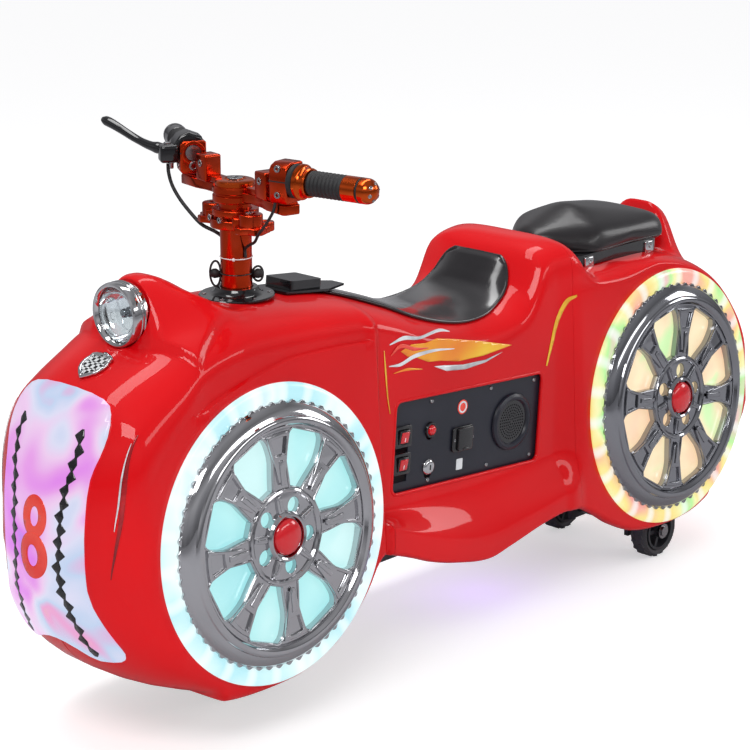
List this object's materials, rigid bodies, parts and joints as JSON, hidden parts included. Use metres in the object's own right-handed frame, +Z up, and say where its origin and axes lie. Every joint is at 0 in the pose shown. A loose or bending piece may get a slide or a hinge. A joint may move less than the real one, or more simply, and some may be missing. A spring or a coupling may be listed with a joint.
{
  "type": "battery ride-on bumper motorcycle",
  "caption": "Fairground bumper ride shaped like a fat-wheeled motorcycle: moulded red body, lit spoked side covers, steered handlebar, two seats and hidden small wheels.",
  "frame": {"origin": "floor level, on the body's mirror plane, under the middle of the body's length", "axes": "+X to the nose, +Y to the rider's left, +Z up; the rest pose is the pictured one, with the handlebar turned a little to the right"},
  "size_m": [1.369, 0.5133, 0.7755],
  "materials": {
    "red_gelcoat": "high gloss moulded fibreglass",
    "lit_nose_panel": "translucent, lit from behind",
    "lit_front_disc": "translucent, lit from behind in cold white",
    "lit_rear_disc": "translucent, lit from behind in warm yellow",
    "plated_cover": "plated moulded plastic",
    "red_plastic": "gloss",
    "chrome_trim": "polished",
    "lamp_glass": "clear",
    "black_vinyl": "soft black vinyl",
    "black_panel": "fine grained",
    "frame_paint": "powder coat",
    "battery_case": "moulded case",
    "bright_steel": "turned",
    "lamp_plastic": "moulded",
    "red_anodised": "anodised, satin",
    "bar_steel": "drawn tube",
    "grip_rubber": "ribbed",
    "black_lever": "gloss black",
    "wheel_hub": "moulded",
    "tyre_rubber": "solid rubber"
  },
  "bodies": {
    "chassis": {"front_shell": "red_gelcoat", "middle_shell": "red_gelcoat", "rear_shell": "red_gelcoat", "nose_light_panel": "lit_nose_panel", "headlamp_housing": "chrome_trim", "headlamp_lens": "lamp_glass", "nose_shield": "chrome_trim", "light_disc_front_left": "lit_front_disc", "light_disc_front_right": "lit_front_disc", "light_disc_rear_left": "lit_rear_disc", "light_disc_rear_right": "lit_rear_disc", "side_cover_front_left": "plated_cover", "side_cover_front_right": "plated_cover", "side_cover_rear_left": "plated_cover", "side_cover_rear_right": "plated_cover", "cap_front_left": "red_plastic", "cap_front_right": "red_plastic", "cap_rear_left": "red_plastic", "cap_rear_right": "red_plastic", "saddle_panel": "black_vinyl", "rear_seat": "black_vinyl", "seat_struts": "chrome_trim", "control_panel": "black_panel", "rocker_switches": "red_plastic", "push_button": "red_plastic", "key_switch": "chrome_trim", "charge_socket": "black_panel", "loudspeaker": "black_panel", "service_panel": "black_panel", "column_flange": "black_panel", "display_base": "black_panel", "display_box": "black_panel", "chassis_frame": "frame_paint", "battery_box": "battery_case", "rear_axle": "bright_steel", "floor_lamp": "lamp_plastic"},
    "handlebar": {"steering_column": "red_anodised", "lower_clamp": "red_anodised", "upper_clamp": "red_anodised", "bar_blocks": "red_anodised", "bar_tubes": "bar_steel", "grips": "grip_rubber", "grip_ends": "red_anodised", "lever_perch": "black_lever", "brake_lever": "black_lever", "brake_cable": "grip_rubber", "lamp_wire": "grip_rubber", "column_loop": "grip_rubber", "fork": "frame_paint"},
    "front_wheel": {"front_hub": "wheel_hub", "front_tyre": "tyre_rubber"},
    "rear_wheel_left": {"rear_hub_left": "wheel_hub", "rear_tyre_left": "tyre_rubber"},
    "rear_wheel_right": {"rear_hub_right": "wheel_hub", "rear_tyre_right": "tyre_rubber"}
  },
  "joints": [
    {"name": "steering", "type": "hinge", "parent": "chassis", "child": "handlebar", "pos_m": [0.3252, 0, 0.45], "axis": [0, 0, 1], "range_deg": [-23, 47]},
    {"name": "front_wheel_spin", "type": "hinge", "parent": "handlebar", "child": "front_wheel", "pos_m": [0.3252, 0, 0.1], "axis": [0.2079, 0.9781, 0], "continuous": true},
    {"name": "rear_wheel_left_spin", "type": "hinge", "parent": "chassis", "child": "rear_wheel_left", "pos_m": [-0.4938, 0.095, 0.045], "axis": [0, 1, 0], "continuous": true},
    {"name": "rear_wheel_right_spin", "type": "hinge", "parent": "chassis", "child": "rear_wheel_right", "pos_m": [-0.4938, -0.095, 0.045], "axis": [0, 1, 0], "continuous": true}
  ]
}
